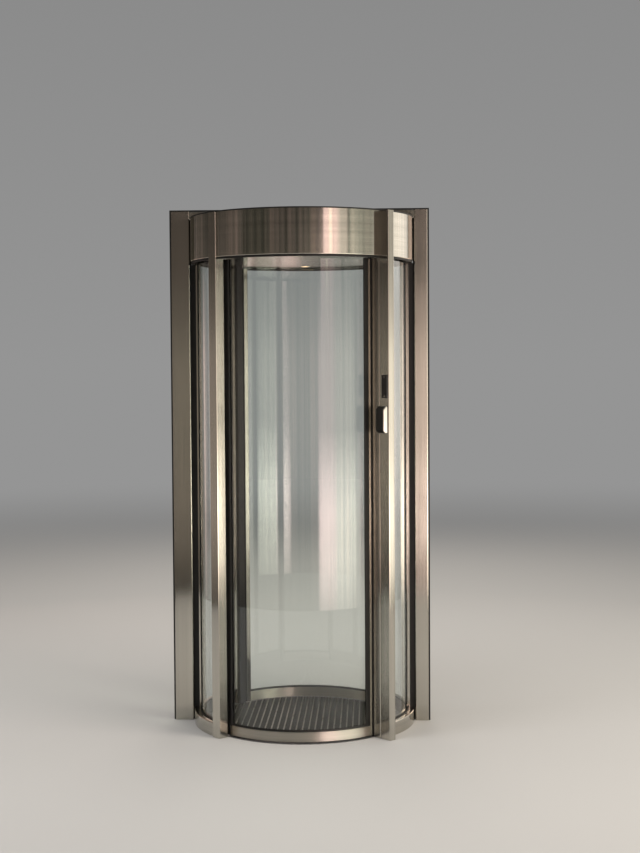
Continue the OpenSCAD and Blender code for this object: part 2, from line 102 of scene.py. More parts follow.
def add(tree, kind, inputs=None, to=None, stops=(), **settings):
    """Adds a node with its settings, its inputs and, for a colour ramp, its stops.

    An input is a value, a socket, or a node whose first output is linked. The new node's own
    first output is linked to the socket given as to.
    """
    made = tree.nodes.new(kind)
    for name, value in settings.items():
        setattr(made, name, value)
    for name, value in (inputs or {}).items():
        if isinstance(value, bpy.types.Node):
            value = value.outputs[0]
        if isinstance(value, bpy.types.NodeSocket):
            tree.links.new(value, made.inputs[name])
        else:
            made.inputs[name].default_value = value
    for i, (position, colour) in enumerate(stops):
        point = made.color_ramp.elements[i] if i < 2 else made.color_ramp.elements.new(position)
        point.position = position
        point.color = linear(colour) if isinstance(colour, str) else [*colour, 1.0]
    if to is not None:
        tree.links.new(made.outputs[0], to)
    return made


def new_material(name, **shader):
    """A material with one Principled shader, its tree, its shader and the place on the object."""
    material = bpy.data.materials.new(name)
    material.use_nodes = True
    tree = material.node_tree
    bsdf = tree.nodes["Principled BSDF"]
    for key, value in shader.items():
        bsdf.inputs[key.replace("_", " ")].default_value = value
    place = add(tree, "ShaderNodeTexCoord").outputs["Object"]
    return material, tree, bsdf, place


# Metals


def grain(tree, place, direction, along):
    """The way a brushed grain runs, and coordinates in metres that are stretched along it."""
    if direction != "around":
        # A little off the axis, so that the grain has a direction on end faces too
        way = {"upright": (0.01, 0.01, 1), "lengthwise": (1, 0.01, 0.01)}[direction]
        stretch = [along if w == 1 else 1 for w in way]
        run = add(tree, "ShaderNodeCombineXYZ", dict(enumerate(way)))
        where = add(tree, "ShaderNodeVectorMath", {0: place, 1: stretch}, operation="MULTIPLY")
        return run, where
    split = add(tree, "ShaderNodeSeparateXYZ", {0: place})
    flat = add(tree, "ShaderNodeCombineXYZ", {0: split.outputs[0], 1: split.outputs[1]})
    radius = add(tree, "ShaderNodeVectorMath", {0: flat}, operation="LENGTH")
    turn = add(tree, "ShaderNodeMath", {0: split.outputs[1], 1: split.outputs[0]},
               operation="ARCTAN2")
    arc = add(tree, "ShaderNodeMath", {0: turn, 1: along * 0.5}, operation="MULTIPLY")
    where = add(tree, "ShaderNodeCombineXYZ",
                {0: arc, 1: radius.outputs[1], 2: split.outputs[2]})
    run = add(tree, "ShaderNodeVectorMath", {0: (0, 0, 1), 1: flat}, operation="CROSS_PRODUCT")
    return run, where


def brushed_stainless(name, direction, finish, tint, smear=1.0):
    """Stainless steel 1.4301, ground with 240 grit and brushed: its grain smears reflections."""
    material, tree, bsdf, place = new_material(name, Metallic=1.0, Anisotropic=smear)
    run, where = grain(tree, place, direction, along=0.004)
    facing = add(tree, "ShaderNodeNewGeometry").outputs["Normal"]
    add(tree, "ShaderNodeVectorMath", {0: facing, 1: run}, bsdf.inputs["Tangent"],
        operation="CROSS_PRODUCT")
    # Real grain lines are about 0.1 mm apart. They are drawn 3 mm apart to show.
    fine = add(tree, "ShaderNodeTexNoise",
               {"Vector": where, "Scale": 1 / (3 * MM), "Detail": 3.0, "Roughness": 0.7})
    # Grinding belts leave broad bands of slightly different gloss, about 30 mm wide.
    bands = add(tree, "ShaderNodeTexNoise", {"Vector": where, "Scale": 1 / (30 * MM)})
    # Handling leaves a faint cloudy film.
    film = add(tree, "ShaderNodeTexNoise",
               {"Vector": place, "Scale": 1 / (220 * MM), "Detail": 3.0})
    both = add(tree, "ShaderNodeMath", {0: fine, 1: bands}, operation="ADD")
    shade = add(tree, "ShaderNodeMapRange", {"Value": both, "From Min": 0.75, "From Max": 1.25})
    add(tree, "ShaderNodeValToRGB", {0: shade}, bsdf.inputs["Base Color"],
        [(0, [c * 0.84 for c in linear(tint)[:3]]), (1, tint)])
    gloss = add(tree, "ShaderNodeMapRange",
                {"Value": film, "From Min": 0.3, "From Max": 0.7,
                 "To Min": finish - 0.02, "To Max": finish + 0.03})
    streaks = add(tree, "ShaderNodeMapRange",
                  {"Value": fine, "From Min": 0.3, "From Max": 0.7,
                   "To Min": -0.02, "To Max": 0.02})
    add(tree, "ShaderNodeMath", {0: streaks, 1: gloss}, bsdf.inputs["Roughness"],
        operation="ADD")
    return material


def galvanised_sheet():
    """Hot-dip galvanised sheet: matte grey with faint spangles about 8 mm wide."""
    material, tree, bsdf, place = new_material("hot-dip galvanised sheet", Metallic=0.9)
    spangle = add(tree, "ShaderNodeTexVoronoi", {"Vector": place, "Scale": 1 / (8 * MM)})
    shade = add(tree, "ShaderNodeSeparateColor", {0: spangle.outputs["Color"]})
    add(tree, "ShaderNodeValToRGB", {0: shade}, bsdf.inputs["Base Color"],
        [(0, "#6f7273"), (1, "#9a9d9e")])
    add(tree, "ShaderNodeMapRange", {"Value": shade, "To Min": 0.42, "To Max": 0.58},
        bsdf.inputs["Roughness"])
    return material


def polished_stainless():
    """Stainless steel polished to a soft mirror: bright, with faint mop swirls about 6 mm wide."""
    material, tree, bsdf, place = new_material(
        "mop-polished stainless", Metallic=1.0, Base_Color=linear("#dcd8cf"))
    swirl = add(tree, "ShaderNodeTexNoise",
                {"Vector": place, "Scale": 1 / (6 * MM), "Detail": 4.0, "Roughness": 0.6})
    add(tree, "ShaderNodeMapRange",
        {"Value": swirl, "From Min": 0.3, "From Max": 0.7, "To Min": 0.12, "To Max": 0.22},
        bsdf.inputs["Roughness"])
    return material


def extruded_aluminium():
    """Extruded aluminium, mill finish, dulled by dirt and rubbed brighter by shoes in patches."""
    material, tree, bsdf, place = new_material("extruded aluminium, trodden", Metallic=1.0)
    lines = add(tree, "ShaderNodeVectorMath", {0: place, 1: (1, 0.01, 1)}, operation="MULTIPLY")
    # The die leaves lines finer than 0.2 mm. They are drawn 0.8 mm apart to show.
    die = add(tree, "ShaderNodeTexNoise", {"Vector": lines, "Scale": 1 / (0.8 * MM)})
    scuff = add(tree, "ShaderNodeTexNoise",
                {"Vector": place, "Scale": 1 / (60 * MM), "Detail": 4.0, "Roughness": 0.55})
    add(tree, "ShaderNodeValToRGB", {0: scuff}, bsdf.inputs["Base Color"],
        [(0.35, "#77756f"), (0.65, "#96948d")])
    drawn = add(tree, "ShaderNodeMapRange",
                {"Value": die, "From Min": 0.3, "From Max": 0.7,
                 "To Min": -0.04, "To Max": 0.04})
    rubbed = add(tree, "ShaderNodeMapRange",
                 {"Value": scuff, "From Min": 0.3, "From Max": 0.7,
                  "To Min": 0.38, "To Max": 0.26})
    add(tree, "ShaderNodeMath", {0: drawn, 1: rubbed}, bsdf.inputs["Roughness"],
        operation="ADD")
    return material


# Rubber, felt, plastic and glass


def epdm_rubber():
    """Extruded EPDM rubber: near black and matte, with a pale bloom of dust in patches."""
    material, tree, bsdf, place = new_material("extruded EPDM rubber", Specular_IOR_Level=0.4)
    bloom = add(tree, "ShaderNodeTexNoise",
                {"Vector": place, "Scale": 1 / (60 * MM), "Detail": 6.0, "Roughness": 0.6})
    add(tree, "ShaderNodeValToRGB", {0: bloom}, bsdf.inputs["Base Color"],
        [(0.35, "#101010"), (0.75, "#23221f")])
    add(tree, "ShaderNodeMapRange",
        {"Value": bloom, "From Min": 0.3, "From Max": 0.7, "To Min": 0.42, "To Max": 0.62},
        bsdf.inputs["Roughness"])
    # The skin's grain is about 0.3 mm. It is drawn at 1 mm to show.
    skin = add(tree, "ShaderNodeTexNoise", {"Vector": place, "Scale": 1 / (1 * MM)})
    add(tree, "ShaderNodeBump", {"Height": skin, "Strength": 0.25, "Distance": 0.1 * MM},
        bsdf.inputs["Normal"])
    return material


def needle_felt():
    """Needled polyamide felt in the mat: dark, with loose fibres that catch dust."""
    material, tree, bsdf, place = new_material("needled polyamide felt", Roughness=0.95)
    # The fibres are about 0.05 mm thick. They are drawn as tufts 2.5 mm apart to show.
    tuft = add(tree, "ShaderNodeTexNoise",
               {"Vector": place, "Scale": 1 / (2.5 * MM), "Detail": 4.0, "Roughness": 0.7})
    dust = add(tree, "ShaderNodeTexNoise",
               {"Vector": place, "Scale": 1 / (90 * MM), "Detail": 5.0, "Roughness": 0.6})
    mixed = add(tree, "ShaderNodeMath", {0: tuft, 1: dust}, operation="MULTIPLY")
    add(tree, "ShaderNodeValToRGB", {0: mixed}, bsdf.inputs["Base Color"],
        [(0.12, "#11110f"), (0.45, "#2c2b27")])
    add(tree, "ShaderNodeBump", {"Height": tuft, "Strength": 0.8, "Distance": 0.8 * MM},
        bsdf.inputs["Normal"])
    return material


def moulded_abs():
    """Injection-moulded black ABS with a fine spark-eroded texture: a soft satin black."""
    material, tree, bsdf, place = new_material("moulded black ABS")
    wear = add(tree, "ShaderNodeTexNoise",
               {"Vector": place, "Scale": 1 / (18 * MM), "Detail": 4.0})
    add(tree, "ShaderNodeValToRGB", {0: wear}, bsdf.inputs["Base Color"],
        [(0.35, "#12110f"), (0.75, "#201e1b")])
    add(tree, "ShaderNodeMapRange",
        {"Value": wear, "From Min": 0.3, "From Max": 0.7, "To Min": 0.3, "To Max": 0.42},
        bsdf.inputs["Roughness"])
    # Spark erosion leaves grains of about 0.1 mm. They are drawn at 0.6 mm to show.
    grains = add(tree, "ShaderNodeTexNoise",
                 {"Vector": place, "Scale": 1 / (0.6 * MM), "Detail": 1.0})
    add(tree, "ShaderNodeBump", {"Height": grains, "Strength": 0.3, "Distance": 0.05 * MM},
        bsdf.inputs["Normal"])
    return material


def float_glass(tint):
    """Laminated curved float glass: clear, with a faint green and wiping marks in its gloss."""
    material, tree, bsdf, place = new_material(
        "laminated curved float glass", IOR=1.52, Transmission_Weight=1.0,
        Base_Color=linear(tint))
    wiped = add(tree, "ShaderNodeVectorMath", {0: place, 1: (1, 1, 0.3)}, operation="MULTIPLY")
    marks = add(tree, "ShaderNodeTexNoise",
                {"Vector": wiped, "Scale": 1 / (120 * MM), "Detail": 5.0, "Roughness": 0.6})
    add(tree, "ShaderNodeMapRange",
        {"Value": marks, "From Min": 0.45, "From Max": 0.8, "To Min": 0.0, "To Max": 0.015},
        bsdf.inputs["Roughness"])
    # Light reaches the inside through the panes, so shadow rays pass straight on.
    path = add(tree, "ShaderNodeLightPath")
    through = add(tree, "ShaderNodeBsdfTransparent", {"Color": linear(tint)})
    add(tree, "ShaderNodeMixShader", {0: path.outputs["Is Shadow Ray"], 1: bsdf, 2: through},
        tree.nodes["Material Output"].inputs["Surface"])
    return material


def opal_lens(name, strength):
    """Opal acrylic over a warm lamp: milky, with faint grit, and glowing where the lamp is lit; the
    lens of the lamp that is off gets a faint painted glow.
    """
    material, tree, bsdf, place = new_material(
        name, Roughness=0.35, Base_Color=linear("#f1e7d4"), Emission_Strength=strength)
    # The filler's grit is finer than 0.1 mm. It is drawn as clouds 4 mm apart to show.
    grit = add(tree, "ShaderNodeTexNoise",
               {"Vector": place, "Scale": 1 / (4 * MM), "Detail": 3.0})
    add(tree, "ShaderNodeValToRGB", {0: grit}, bsdf.inputs["Emission Color"],
        [(0.3, "#ffd19a"), (0.7, "#ffe2b8")])
    return material


# Shapes


def spot(angle, radius, side=0.0, height=0.0):
    """A point at an angle from the front and a radius, moved sideways, at a height."""
    out = Vector((math.sin(angle), -math.cos(angle), 0))
    along = Vector((math.cos(angle), math.sin(angle), 0))
    return out * radius + along * side + Vector((0, 0, height))


def rounded(corners, radius, steps=4):
    """A closed outline with its corners rounded. A radius for each corner may be given."""
    radii = radius if isinstance(radius, (list, tuple)) else [radius] * len(corners)
    made = []
    for i, (corner, r) in enumerate(zip(corners, radii)):
        here = Vector(corner)
        before = Vector(corners[i - 1]) - here
        after = Vector(corners[(i + 1) % len(corners)]) - here
        if r <= 0:
            made.append(here)
            continue
        half = before.angle(after) / 2
        reach = min(r / math.tan(half), before.length * 0.49, after.length * 0.49)
        r = reach * math.tan(half)
        middle = here + (before.normalized() + after.normalized()).normalized() * (r / math.sin(half))
        start = here + before.normalized() * reach - middle
        end = here + after.normalized() * reach - middle
        sweep = start.angle_signed(end) if start.length > 0 else 0
        for k in range(steps + 1):
            turn = -sweep * k / steps
            made.append(middle + Matrix.Rotation(turn, 2) @ start)
    return made


def loft(bm, rings, finish=0, cap=True):
    """Joins rings of points into a closed skin, with caps at both ends."""
    rows = [[bm.verts.new(p) for p in ring] for ring in rings]
    count = len(rows[0])
    for low, high in zip(rows, rows[1:]):
        for i in range(count):
            j = (i + 1) % count
            bm.faces.new((low[i], low[j], high[j], high[i])).material_index = finish
    if cap:
        bm.faces.new(reversed(rows[0])).material_index = finish
        bm.faces.new(rows[-1]).material_index = finish


def revolved(bm, outline, start, end):
    """Carries an outline of (radius, height) round the cylinder's axis between two angles."""
    count = max(2, math.ceil((end - start) / math.radians(1.5)))
    angles = [start + (end - start) * i / count for i in range(count + 1)]
    loft(bm, [[spot(a, r, 0, z) for r, z in outline] for a in angles])


def upright(bm, plan, low, high):
    """Raises an outline of points in plan from one height to another."""
    loft(bm, [[Vector((p.x, p.y, z)) for p in plan] for z in (low, high)])


def curved_plan(r0, r1, start, end, corner):
    """The plan of an upright strip bent round the cylinder, with its outer corners rounded."""
    steps = 6
    lean = corner / r1
    outer = [(r1 - corner * (1 - math.sin(t)), end - lean * (1 - math.cos(t)))
             for t in (0, math.radians(30), math.radians(60), math.radians(90))]
    back = [(r, start + end - a) for r, a in reversed(outer)]
    top = [(r1, end - lean - (end - start - 2 * lean) * i / steps) for i in range(1, steps)]
    inner = [(r0, start + (end - start) * i / steps) for i in range(steps + 1)]
    return [spot(a, r) for r, a in [*outer, *top, *back, *inner]]


def piece_of(bm, name, finishes, body, node=None, sharp=35):
    """Makes a piece of a mesh, on a body, in place of a CAD node."""
    bmesh.ops.recalc_face_normals(bm, faces=bm.faces)
    mesh = bpy.data.meshes.new(name)
    bm.to_mesh(mesh)
    bm.free()
    for finish in finishes:
        mesh.materials.append(finish)
    mesh.shade_smooth()
    mesh.set_sharp_from_angle(angle=math.radians(sharp))
    piece = bpy.data.objects.new(name, mesh)
    bpy.context.scene.collection.objects.link(piece)
    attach(piece, body)
    if node:
        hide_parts(node)


def put(material, names):
    """Gives CAD nodes a material."""
    for name in names:
        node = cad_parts[name]
        node.data.materials.clear()
        node.data.materials.append(material)


# Sizes and colours that a user would change


class PortalMetal(bpy.types.PropertyGroup):
    roughness: FloatProperty(
        name="Roughness", description="Roughness of the brushed steel",
        default=0.18, min=0.05, max=0.6, subtype="FACTOR")
    tint: StringProperty(
        name="Steel", description="Colour of the steel, as sRGB hex", default="#c6c2b8")
    rail_tint: StringProperty(
        name="Door rails", description="Colour of the coarse ground door rails, as sRGB hex",
        default="#d8d4ca")
    ceiling_roughness: FloatProperty(
        name="Ceiling roughness", description="Roughness of the ceiling sheet",
        default=0.2, min=0.05, max=0.6, subtype="FACTOR")
    ceiling_tint: StringProperty(
        name="Ceiling", description="Colour of the ceiling sheet, as sRGB hex", default="#8e8c8b")


class PortalGlass(bpy.types.PropertyGroup):
    tint: StringProperty(
        name="Tint", description="Colour of light through one face of the glass, as sRGB hex",
        default="#f6faf8")


class PortalSeals(bpy.types.PropertyGroup):
    lip: FloatProperty(
        name="Lip", description="Radius of the rounded edges of the rubber", default=1.5 * MM,
        min=0.2 * MM, max=2.5 * MM, unit="LENGTH")


class PortalMat(bpy.types.PropertyGroup):
    pitch: FloatProperty(
        name="Pitch", description="Distance between the mat's bars", default=28 * MM,
        min=14 * MM, max=40 * MM, unit="LENGTH")
    bar_width: FloatProperty(
        name="Bar", description="Width of an aluminium bar", default=6 * MM,
        min=4 * MM, max=12 * MM, unit="LENGTH")
    grooves: IntProperty(
        name="Grooves", description="Grooves along each bar", default=1, min=0, max=4)


class PortalLights(bpy.types.PropertyGroup):
    diameter: FloatProperty(
        name="Diameter", description="Diameter of a downlight", default=46 * MM, unit="LENGTH")
    strength: FloatProperty(
        name="Strength", description="Brightness of the lit lens", default=3.5, min=0)
    # The unlit lens's brightness is a painted glow: that lamp is off.
    unlit_painted_glow: FloatProperty(
        name="Unlit", description="Brightness of the other lens", default=0.15, min=0)


class PortalStage(bpy.types.PropertyGroup):
    floor_colour: StringProperty(
        name="Floor", description="Colour of the floor, as sRGB hex", default="#bcb9b4")
    far_level: FloatProperty(
        name="Background", description="Brightness of the background", default=0.30)
    lens: FloatProperty(
        name="Lens", description="Focal length on a 36 mm sensor", default=60.89, unit="CAMERA")


# Pieces


class PORTAL_OT_steel(bpy.types.Operator):
    """Brushed stainless steel for the frame, posts, header and rails"""

    bl_idname = "portal.steel"
    bl_label = "Steel finishes"

    def execute(self, context):
        metal = context.scene.portal_metal
        for name, direction, coarser, tint, nodes in (
                ("stainless brushed around", "around", -0.05, metal.tint, AROUND_STEEL),
                ("stainless brushed upright", "upright", -0.02, metal.tint, UPRIGHT_STEEL),
                ("stainless brushed lengthwise", "lengthwise", 0.02, metal.tint, LENGTHWISE_STEEL),
                ("stainless coarse ground around", "around", 0.24, metal.rail_tint, COARSE_STEEL)):
            put(brushed_stainless(name, direction, metal.roughness + coarser, tint), nodes)
        put(brushed_stainless("stainless ceiling sheet", "lengthwise", metal.ceiling_roughness,
                              metal.ceiling_tint, smear=0.4), CEILING_STEEL)
        put(galvanised_sheet(), ZINC)
        return {"FINISHED"}


class PORTAL_OT_glass(bpy.types.Operator):
    """Clear curved glass for the side walls and the doors"""

    bl_idname = "portal.glass"
    bl_label = "Curved glass"

    def execute(self, context):
        put(float_glass(context.scene.portal_glass.tint), GLASS)
        return {"FINISHED"}


class PORTAL_OT_fixed_rubber(bpy.types.Operator):
    """Rubber of the fixed joints, and the seals and ribbed strips under the header"""

    bl_idname = "portal.fixed_rubber"
    bl_label = "Fixed seals"

    def execute(self, context):
        rubber = epdm_rubber()
        put(rubber, RUBBER)
        bm = bmesh.new()
        r0, r1, low, high = 495.5 * MM, 503.5 * MM, 2097 * MM, HEADER_LOW
        # A bulb with rounded lower edges and a groove where its outer side meets the steel
        outline = rounded([(r0, low), (r1, low), (r1, high - 2.4 * MM),
                           (r1 - 1.2 * MM, high - 1.6 * MM), (r1 - 1.2 * MM, high), (r0, high)],
                          [2 * MM, 3 * MM, 0.3 * MM, 0.3 * MM, 0, 0])
        # It runs over both doorways and both sides. The posts' widths and the seal's radius are in
        # millimetres, and a small angle keeps its ends clear of the posts.
        deep_post, shallow_post, seal_radius = 36, 48, 499
        clear = 0.001
        side_start = DOORWAY_RIGHT + math.asin(deep_post / seal_radius)
        side_end = math.pi + DOORWAY_LEFT - math.asin(shallow_post / seal_radius)
        for half in (0, math.pi):
            revolved(bm, outline, DOORWAY_LEFT + half + clear, DOORWAY_RIGHT + half - clear)
            revolved(bm, outline, side_start + half + clear, side_end + half - clear)
        piece_of(bm, "header_bulb_seal", [rubber], PORTAL, "header_seal")

        # Flat strip under the header over each doorway, from the bulb to the door, with three ribs
        bm = bmesh.new()
        inside, outside, rib = 463 * MM, 495 * MM, 1.6 * MM
        clear = 0.004
        face = HEADER_LOW - 2 * MM
        outline = [(outside, HEADER_LOW), (inside, HEADER_LOW), (inside, face)]
        for k in (1, 2, 3):
            at = inside + (outside - inside) * k / 4
            outline += [(at - rib, face), (at - rib * 0.5, face - rib), (at + rib * 0.5, face - rib),
                        (at + rib, face)]
        outline.append((outside, face))
        for half in (0, math.pi):
            revolved(bm, outline, DOORWAY_LEFT + half + clear, DOORWAY_RIGHT + half - clear)
        piece_of(bm, "header_lining_strips", [rubber], PORTAL, None)
        return {"FINISHED"}


class PORTAL_OT_door_rubber(bpy.types.Operator):
    """Rubber of both doors: closing edge, band beside it, bottom gaskets and trailing strip"""

    bl_idname = "portal.door_rubber"
    bl_label = "Door seals"

    def execute(self, context):
        rubber = bpy.data.materials["extruded EPDM rubber"]
        lip = context.scene.portal_seals.lip
        bm = bmesh.new()
        low, rail_top, top = 6.5 * MM, 50.5 * MM, 2098.5 * MM
        pane_low, gasket_top = 36.5 * MM, 58.5 * MM
        # Where each part ends, from widths along the arc and radii that are both in millimetres
        inside, outside = 432, 452
        gap, edge, nose, cover, band, overlap, strip = 1, 6, 11, 27, 23, 18, 30
        door_end = DOORWAY_RIGHT - gap / inside
        nose_start = door_end - edge / inside - nose / outside
        cover_start = door_end - cover / inside
        band_start = nose_start - band / outside
        door_start = DOORWAY_LEFT - overlap / outside
        strip_end = door_start + strip / outside
        # Small angles that keep parts beside each other a hairline apart
        clear, gasket_clear = 0.0006, 0.0007

        # Closing edge: a rounded nose with two narrow grooves along the face that meets the post
        middle = (NOSE_INSIDE + RAIL_OUTSIDE) / 2
        half = (RAIL_OUTSIDE - NOSE_INSIDE) / 2
        face = [(-half, -5.6 * MM), (-half, -1.6 * MM), (-half + 3 * MM, 0)]
        for at in (-4 * MM, 4 * MM):
            face += [(at - 1.2 * MM, 0), (at - 0.5 * MM, -1.4 * MM),
                     (at + 0.5 * MM, -1.4 * MM), (at + 1.2 * MM, 0)]
        face += [(half - 3 * MM, 0), (half, -1.6 * MM), (half, -5.6 * MM)]
        face = rounded(face, [0, 1.2 * MM, 1.2 * MM] + [0.3 * MM] * 8 + [1.2 * MM, 1.2 * MM, 0], 3)
        upright(bm, [spot(door_end, middle + r, t) for r, t in face], low, top)

        # Band on the glass, and the filler behind it
        upright(bm, curved_plan(PANE_OUTSIDE, RAIL_OUTSIDE, band_start, nose_start - clear, lip),
                rail_top, top)
        upright(bm, curved_plan(RAIL_INSIDE + 0.3 * MM, PANE_INSIDE, cover_start,
                                nose_start - clear, 0.4 * MM), rail_top, top)

        # Wedge gaskets on the bottom rail, outside and inside the pane
        outer = rounded([(PANE_OUTSIDE, rail_top), (448.5 * MM, rail_top), (448.5 * MM, 52 * MM),
                         (447.2 * MM, gasket_top), (PANE_OUTSIDE, gasket_top)],
                        [0, 0, 0.8 * MM, 0.4 * MM, 0], 3)
        inner = rounded([(PANE_INSIDE, rail_top), (PANE_INSIDE, gasket_top),
                         (436.6 * MM, gasket_top), (434.5 * MM, 52 * MM), (434.5 * MM, rail_top)],
                        [0, 0, 0.4 * MM, 0.8 * MM, 0], 3)
        revolved(bm, outer, strip_end + gasket_clear, band_start - gasket_clear)
        revolved(bm, inner, strip_end + gasket_clear, cover_start - gasket_clear)

        # Trailing strip: solid beside the rail, then one strip on each face of the glass
        strip_out = 454.5 * MM
        upright(bm, curved_plan(RAIL_INSIDE, strip_out, door_start, DOORWAY_LEFT, lip),
                low, pane_low)
        for r0, r1 in ((PANE_OUTSIDE, strip_out), (RAIL_INSIDE, PANE_INSIDE)):
            upright(bm, curved_plan(r0, r1, door_start, DOORWAY_LEFT, lip), pane_low, rail_top)
            upright(bm, curved_plan(r0, r1, door_start, strip_end, lip), rail_top, top)

        piece_of(bm, "front_door_rubber", [rubber], "front_door", "front_door_seals")
        turned = bmesh.new()
        turned.from_mesh(bpy.data.meshes["front_door_rubber"])
        bmesh.ops.rotate(turned, verts=turned.verts, matrix=Matrix.Rotation(math.pi, 3, "Z"))
        piece_of(turned, "rear_door_rubber", [rubber], "rear_door", "rear_door_seals")
        return {"FINISHED"}


class PORTAL_OT_mat(bpy.types.Operator):
    """Entrance mat inside the cylinder: grooved aluminium bars with felt between them"""

    bl_idname = "portal.mat"
    bl_label = "Ribbed mat"

    def execute(self, context):
        mat = context.scene.portal_mat
        bm = bmesh.new()
        edge = 423 * MM
        base, body, felt, top = 1.5 * MM, 3.6 * MM, 5.4 * MM, 6.5 * MM
        round_mat = [spot(math.radians(a), edge) for a in range(0, 360, 3)]
        loft(bm, [[Vector((p.x, p.y, z)) for p in round_mat] for z in (base, body)], 1)
        count = int(edge / mat.pitch)
        half = mat.bar_width / 2
        gap, margin, narrowest = 0.6 * MM, 4 * MM, 3 * MM
        # Each bar, of finish 0, is followed by its strip of felt, of finish 1.
        for i in range(-count - 1, count + 1):
            for kind, left, right, height in (
                    (0, i * mat.pitch - half, i * mat.pitch + half, top),
                    (1, i * mat.pitch + half + gap, (i + 1) * mat.pitch - half - gap, felt)):
                far = max(abs(left), abs(right))
                if far > edge - margin:
                    left, right = max(left, -edge + margin), min(right, edge - margin)
                    far = max(abs(left), abs(right))
                if right - left < narrowest:
                    continue
                outline = [(left, body), (right, body), (right, height)]
                radii = [0, 0, 0.9 * MM]
                if kind == 0:
                    for k in range(mat.grooves, 0, -1):
                        at = left + (right - left) * k / (mat.grooves + 1)
                        outline += [(at + 0.7 * MM, height), (at + 0.3 * MM, height - 0.8 * MM),
                                    (at - 0.3 * MM, height - 0.8 * MM), (at - 0.7 * MM, height)]
                        radii += [0, 0, 0, 0]
                outline.append((left, height))
                radii.append(0.9 * MM)
                reach = math.sqrt(edge ** 2 - far ** 2) - 0.5 * MM
                outline = rounded(outline, radii, 3)
                loft(bm, [[Vector((x, y, z)) for x, z in outline] for y in (-reach, reach)], kind)
        piece_of(bm, "ribbed_entrance_mat", [extruded_aluminium(), needle_felt()], PORTAL,
                 "floor_mat")
        return {"FINISHED"}


class PORTAL_OT_lights(bpy.types.Operator):
    """Two downlights in the ceiling, each a turned ring with an opal lens: the rear one is lit, and
    the front one's lens has a faint painted glow
    """

    bl_idname = "portal.lights"
    bl_label = "Downlights"

    def execute(self, context):
        lights = context.scene.portal_lights
        rings, lenses = bmesh.new(), bmesh.new()
        rim = lights.diameter / 2
        lens = rim - 3.4 * MM
        from_axis = 330 * MM
        ring = [(rim, 0), (rim, -1.2 * MM), (rim - 1 * MM, -2.6 * MM), (rim - 2.4 * MM, -3 * MM),
                (rim - 3.2 * MM, -2.4 * MM), (rim - 3.2 * MM, -1.8 * MM), (rim - 3.2 * MM, 0)]
        for side in (-1, 1):
            middle = Vector((0, side * from_axis, CEILING))
            around = [math.radians(a) for a in range(0, 360, 6)]
            rows = [[middle + Vector((r * math.cos(a), r * math.sin(a), z)) for r, z in ring]
                    for a in around]
            loft(rings, [*rows, rows[0]], cap=False)
            dome = [(lens, 0), (lens, -0.9 * MM), (lens * 0.7, -1.4 * MM), (lens * 0.3, -1.5 * MM)]
            loft(lenses, [[middle + Vector((r * math.cos(a), r * math.sin(a), z)) for a in around]
                          for r, z in dome], 0 if side > 0 else 1)
        bmesh.ops.remove_doubles(rings, verts=rings.verts, dist=1e-6)
        piece_of(rings, "downlight_trims", [polished_stainless()], PORTAL, "downlight_rings")
        # The front lamp is off: the small brightness of its lens is a painted glow.
        finishes = [opal_lens("opal acrylic lens, lit", lights.strength),
                    opal_lens("opal acrylic lens", lights.unlit_painted_glow)]
        piece_of(lenses, "downlight_opals", finishes, PORTAL, "downlight_lenses")
        return {"FINISHED"}


